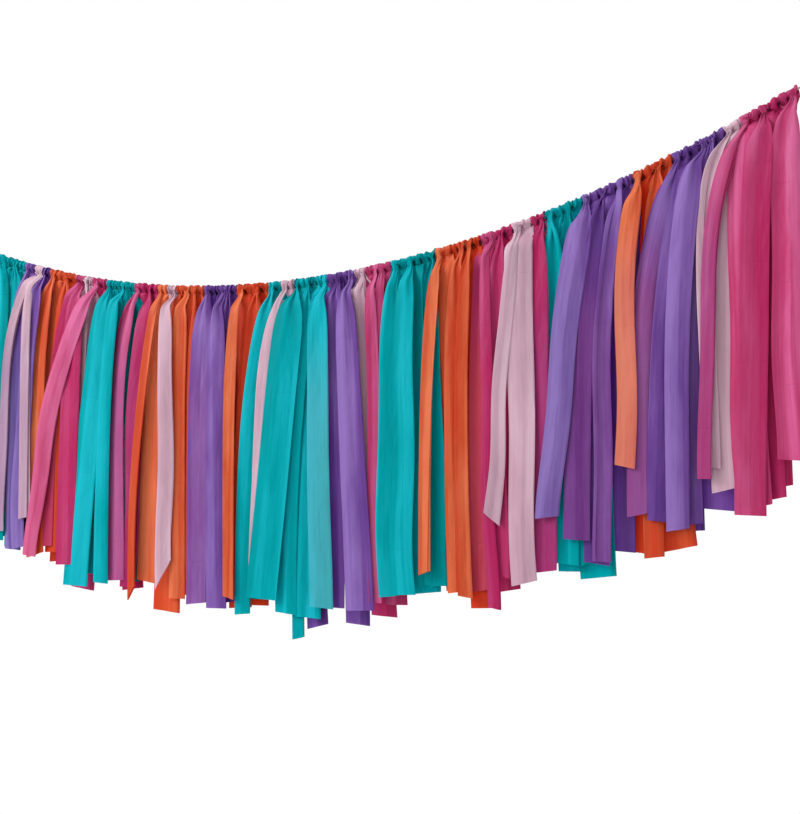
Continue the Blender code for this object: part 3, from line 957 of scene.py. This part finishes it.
# %% Noise, ramp and tint
def noise(nodes, links, source, scale, stretch, detail=3.0):
    """Noise on a source of coordinates, stretched by its own Mapping node."""
    mapping = nodes.new("ShaderNodeMapping")
    mapping.inputs["Scale"].default_value = stretch
    links.new(source, mapping.inputs["Vector"])
    made = nodes.new("ShaderNodeTexNoise")
    made.inputs["Scale"].default_value = scale
    made.inputs["Detail"].default_value = detail
    links.new(mapping.outputs["Vector"], made.inputs["Vector"])
    return made.outputs["Fac"]


def ramp(nodes, links, factor, stops):
    """A colour ramp through two or more stops of place and colour."""
    made = nodes.new("ShaderNodeValToRGB")
    elements, stops = made.color_ramp.elements, list(stops)
    while len(elements) < len(stops):
        elements.new(0.5)
    for element, (place, colour) in zip(elements, stops):
        element.position = place
        element.color = (*colour, 1.0)
    links.new(factor, made.inputs["Fac"])
    return made.outputs["Color"]


def mixed(nodes, links, tint, colour):
    """A colour with the tint of an attribute mixed in by the attribute's alpha."""
    made = nodes.new("ShaderNodeMix")
    made.data_type = "RGBA"
    links.new(tint.outputs["Alpha"], made.inputs["Factor"])
    links.new(colour, made.inputs["A"])
    links.new(tint.outputs["Color"], made.inputs["B"])
    return made.outputs["Result"]


# %% Arithmetic, bumps and blends
def feed(links, sockets, values):
    """Give each socket its value: a plain number, or a link from another socket."""
    for socket, value in zip(sockets, values):
        if isinstance(value, (int, float)):
            socket.default_value = value
        else:
            links.new(value, socket)


def arithmetic(nodes, links, operation, *values):
    """A Math node on links and plain numbers."""
    made = nodes.new("ShaderNodeMath")
    made.operation = operation
    feed(links, made.inputs, values)
    return made.outputs[0]


def bump(nodes, links, height, strength, distance, under=None):
    """The normal of a surface on which a height stands out, on top of another normal or of none."""
    made = nodes.new("ShaderNodeBump")
    made.inputs["Strength"].default_value = strength
    made.inputs["Distance"].default_value = distance
    links.new(height, made.inputs["Height"])
    if under:
        links.new(under, made.inputs["Normal"])
    return made.outputs["Normal"]


def blend(nodes, links, share, first, second, output):
    """Two shaders mixed by a share, as what the output shows."""
    made = nodes.new("ShaderNodeMixShader")
    feed(links, made.inputs, (share, first, second))
    links.new(made.outputs["Shader"], output.inputs["Surface"])


# %% Packet creases
PACKET_STEP = 0.0975
PACKET_CREASE = 0.0012
PATCH_SCALE = 22.0
PATCH_LEVEL = 0.42
PATCH_DEPTH = -6.0


def packet_creases(nodes, links, uv, place):
    """A height that dips in a thin, patchy line across the film wherever it was folded in its packet."""
    parts = nodes.new("ShaderNodeSeparateXYZ")
    links.new(uv, parts.inputs[0])
    steps = arithmetic(nodes, links, "DIVIDE", parts.outputs["Y"], PACKET_STEP)
    share = arithmetic(nodes, links, "FRACT", steps)
    away = arithmetic(nodes, links, "ABSOLUTE", arithmetic(nodes, links, "SUBTRACT", share, 0.5))
    near = arithmetic(nodes, links, "MULTIPLY_ADD", away, -PACKET_STEP / PACKET_CREASE, 1.0)
    cloud = noise(nodes, links, place, PATCH_SCALE, (1.0, 1.0, 1.0), 1.0)
    patches = arithmetic(nodes, links, "SUBTRACT", cloud, PATCH_LEVEL)
    dip = arithmetic(nodes, links, "MULTIPLY", arithmetic(nodes, links, "MAXIMUM", near, 0.0), patches)
    return arithmetic(nodes, links, "MULTIPLY", arithmetic(nodes, links, "MAXIMUM", dip, 0.0), PATCH_DEPTH)


# %% Film material
FILM_ROUGHNESS = 0.42
FILM_SHINE = {"teal": 0.03, "purple": 0.12, "orange": 0.10, "pink": 0.12, "blush": 0.12}
THROUGH_SHARE = 0.42
STREAKS = (420.0, 6.0, 1.0)
CLOUDS = (28.0, 28.0, 7.0)
RIPPLES = (60.0, 160.0, 1.0)
CRUMPLES = (75.0, 24.0, 1.0)
STREAK_SHARE = 0.30
CLOUD_SHARE = 0.70
LIT_DEEPER = 1.6
SURFACE_TONES = (0.00, 0.10, 0.22, 0.50, 0.78)
GLOW_TONES = (0.00, 0.10, 0.22, 0.55)


def film_material(name):
    """Satin film in one colour, which lets light through."""
    doubled, plain, thin, lit = COLOURS[name]
    material, nodes, links, shader, output = new_material(f"{name}_film_finish")
    uv = nodes.new("ShaderNodeUVMap")
    uv.uv_map = "film"
    place = nodes.new("ShaderNodeTexCoord").outputs["Object"]
    streaks = noise(nodes, links, uv.outputs["UV"], 1.0, STREAKS)
    clouds = noise(nodes, links, place, 1.0, CLOUDS)
    # the tone attribute carries painted light and shade as well as the film's own tone
    tone_and_painted_light = nodes.new("ShaderNodeAttribute")
    tone_and_painted_light.attribute_name = "tone_and_painted_light"
    uneven = arithmetic(nodes, links, "MULTIPLY_ADD", streaks, STREAK_SHARE, tone_and_painted_light.outputs["Fac"])
    uneven = arithmetic(nodes, links, "MULTIPLY_ADD", clouds, CLOUD_SHARE, uneven)
    tint = nodes.new("ShaderNodeAttribute")
    tint.attribute_name = "tint"
    # the lowest stop is painted shade: a near-black share of the doubled colour for the gaps beside the
    # necks
    painted_shade_colour = tuple(PAINTED_SHADE_SHARE * value for value in doubled)
    surface = ramp(nodes, links, uneven, zip(SURFACE_TONES, (painted_shade_colour, doubled, doubled, plain, thin)))
    links.new(mixed(nodes, links, tint, surface), shader.inputs["Base Color"])
    shader.inputs["Roughness"].default_value = FILM_ROUGHNESS
    shader.inputs["Specular IOR Level"].default_value = FILM_SHINE[name]
    normal = None
    for height, strength, distance in (
        # what stands out, how strongly, and how high in metres
        (streaks, 0.30, 0.0006),
        (noise(nodes, links, uv.outputs["UV"], 1.0, RIPPLES, 2.0), 0.25, 0.0008),
        (noise(nodes, links, uv.outputs["UV"], 1.0, CRUMPLES, 2.0), 0.80, 0.0030),
        (packet_creases(nodes, links, uv.outputs["UV"], place), 0.30, 0.0008),
    ):
        normal = bump(nodes, links, height, strength, distance, normal)
    links.new(normal, shader.inputs["Normal"])
    through = nodes.new("ShaderNodeBsdfTranslucent")
    deep = tuple(value**LIT_DEEPER for value in lit)
    # the glow has the same painted shade at its lowest stop
    painted_shade_glow = tuple(PAINTED_SHADE_SHARE * value for value in deep)
    glow = ramp(nodes, links, uneven, zip(GLOW_TONES, (painted_shade_glow, deep, deep, lit)))
    links.new(mixed(nodes, links, tint, glow), through.inputs["Color"])
    blend(nodes, links, THROUGH_SHARE, shader.outputs["BSDF"], through.outputs["BSDF"], output)
    return material


FILMS = {name: film_material(name) for name in COLOURS}


# %% Twine material
TWINE_COLOUR = (0.650, 0.600, 0.520)
FIBRE_SCALE = 2600.0
FIBRE_DEPTH = 0.62
FIBRE_TONES = (0.35, 0.62)
FIBRE_BUMP = (0.5, 0.0002)
TWINE_ROUGHNESS = 0.9


def twine_material():
    """Undyed twine: pale, matt and a little uneven."""
    material, nodes, links, shader, _ = new_material("twine_finish")
    place = nodes.new("ShaderNodeTexCoord").outputs["Object"]
    fibre = noise(nodes, links, place, FIBRE_SCALE, (1.0, 1.0, 1.0), 4.0)
    deep = tuple(FIBRE_DEPTH * value for value in TWINE_COLOUR)
    colour = ramp(nodes, links, fibre, zip(FIBRE_TONES, (deep, TWINE_COLOUR)))
    links.new(colour, shader.inputs["Base Color"])
    shader.inputs["Roughness"].default_value = TWINE_ROUGHNESS
    links.new(bump(nodes, links, fibre, *FIBRE_BUMP), shader.inputs["Normal"])
    return material


TWINE.data.materials.clear()
TWINE.data.materials.append(twine_material())
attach(TWINE, "twine")
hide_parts("twine")

# %% [markdown]
# ## Every strip on its body
# Each strip rides on the body of its own solid, which swings about the stretch of twine that it is tied
# to.

# %% Make the strips
for number, strip in enumerate(STRIPS, start=1):
    piece, cut_length = make_strip(number, strip)
    piece.data.materials.clear()
    piece.data.materials.append(FILMS[strip[0]])
    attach(piece, f"streamer_{number:02d}")
    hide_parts(f"streamer_{number:02d}_{strip[0]}")
print(f"faces of the last strip: {len(piece.data.polygons)}")

# %% [markdown]
# ## Studio
# A pale floor lies far below, and a white world stands behind. Both show as plain white to the camera. The
# light on the film is soft: an even world, and one broad lamp from the upper left.

# %% Floor and world
FLOOR_HEIGHT = -1.9
FLOOR_SIZE = 14.0
FLOOR_COLOUR = (0.80, 0.80, 0.80, 1.0)
FLOOR_ROUGHNESS = 0.8
WORLD_LEVEL = 0.87
WHITE = (1.0, 1.0, 1.0, 1.0)


def seen_rays(nodes, links):
    """1 for camera, mirror and see-through rays, else 0."""
    rays = nodes.new("ShaderNodeLightPath").outputs
    seen = arithmetic(nodes, links, "MAXIMUM", rays["Is Camera Ray"], rays["Is Glossy Ray"])
    return arithmetic(nodes, links, "MAXIMUM", seen, rays["Is Transmission Ray"])


def make_floor():
    """A plain pale floor that shows white."""
    bpy.ops.object.select_all(action="DESELECT")
    bpy.ops.mesh.primitive_plane_add(size=FLOOR_SIZE, location=(SPAN / 2, 0.0, FLOOR_HEIGHT))
    floor = bpy.context.object
    floor.name = "floor"
    material, nodes, links, shader, output = new_material("pale_floor")
    shader.inputs["Base Color"].default_value = FLOOR_COLOUR
    shader.inputs["Roughness"].default_value = FLOOR_ROUGHNESS
    glow = nodes.new("ShaderNodeEmission").outputs["Emission"]
    blend(nodes, links, seen_rays(nodes, links), shader.outputs["BSDF"], glow, output)
    floor.data.materials.append(material)


def make_world():
    """White to the camera, even soft light to the film."""
    world = bpy.data.worlds.new("studio")
    bpy.context.scene.world = world
    world.use_nodes = True
    nodes, links = world.node_tree.nodes, world.node_tree.links
    light, white = nodes["Background"], nodes.new("ShaderNodeBackground")
    for background in (light, white):
        background.inputs["Color"].default_value = WHITE
    light.inputs["Strength"].default_value = WORLD_LEVEL
    shaders = (background.outputs["Background"] for background in (light, white))
    blend(nodes, links, seen_rays(nodes, links), *shaders, nodes["World Output"])


make_floor()
make_world()


# %% Lamps
def make_lamp(name, place, aim, size, power):
    """A square soft lamp that faces a point."""
    data = bpy.data.lights.new(name, "AREA")
    data.size = size
    data.energy = power
    lamp = bpy.data.objects.new(name, data)
    lamp.location = place
    lamp.rotation_euler = (Vector(aim) - Vector(place)).to_track_quat("-Z", "Y").to_euler()
    bpy.context.scene.collection.objects.link(lamp)
    return lamp


GARLAND_MIDDLE = (SPAN / 2, 0.0, -0.25)
KEY_PLACE = (-1.24, -1.54, 1.05)
KEY_SIZE = 1.2
KEY_POWER = 49.0
make_lamp("key", KEY_PLACE, GARLAND_MIDDLE, KEY_SIZE, KEY_POWER)
bpy.context.scene.view_settings.view_transform = "Standard"
